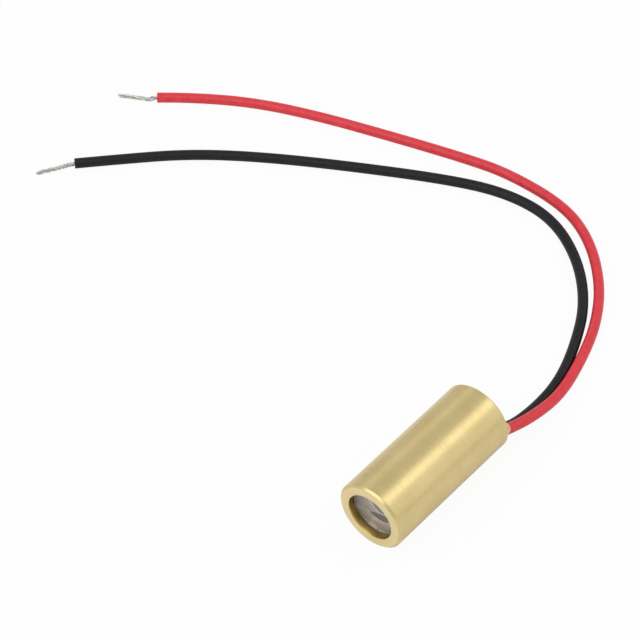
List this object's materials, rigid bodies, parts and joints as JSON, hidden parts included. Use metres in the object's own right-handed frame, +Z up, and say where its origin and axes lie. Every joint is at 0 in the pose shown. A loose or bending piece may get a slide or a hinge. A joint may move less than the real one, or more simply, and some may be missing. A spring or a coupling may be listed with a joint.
{
  "type": "laser diode module",
  "caption": "Small round brass laser module with a clear line-forming lens in its nose, a driver board inside, a glued back, and a red and a black flying lead with bare tinned ends.",
  "frame": {"origin": "centre of the barrel's front face, on the optical axis", "axes": "-Y is the way the beam leaves, +Y runs along the barrel to the back where the leads come out, +Z is up, and the barrel lies on its side on the plane z = -4.5 mm"},
  "size_m": [0.0765, 0.0574, 0.009],
  "materials": {
    "turned_brass": "turned, satin",
    "clear_acrylic": "moulded, polished",
    "grey_nylon": "moulded",
    "spring_steel": "drawn wire",
    "gold_plated_steel": "plated",
    "nickel_plated_steel": "plated",
    "window_glass": "polished",
    "ceramic": "fired",
    "semiconductor": "polished",
    "sealing_glass": "fused",
    "green_laminate": "solder mask",
    "black_epoxy": "moulded",
    "tin": "soldered",
    "black_ceramic": "glazed",
    "tan_ceramic": "fired",
    "tinned_copper": "tinned and twisted",
    "glue": "set from a drop",
    "red_pvc": "extruded, satin",
    "black_pvc": "extruded, satin"
  },
  "bodies": {
    "root": {"housing": "turned_brass", "diode_holder": "turned_brass", "line_lens": "clear_acrylic", "collimator_lens": "clear_acrylic", "lens_cell": "grey_nylon", "focus_spring": "spring_steel", "diode_stem": "gold_plated_steel", "diode_cap": "nickel_plated_steel", "diode_window": "window_glass", "chip_submount": "ceramic", "laser_chip": "semiconductor", "monitor_photodiode": "semiconductor", "diode_pins": "gold_plated_steel", "pin_glass_seals": "sealing_glass", "circuit_board": "green_laminate", "driver_transistor": "black_epoxy", "transistor_legs": "tin", "resistors": "black_ceramic", "capacitor": "tan_ceramic", "component_terminals": "tin", "solder_joints": "tin", "soldered_strands": "tinned_copper", "rear_potting": "glue", "red_lead": "red_pvc", "black_lead": "black_pvc", "red_lead_end": "tinned_copper", "black_lead_end": "tinned_copper"}
  },
  "joints": []
}
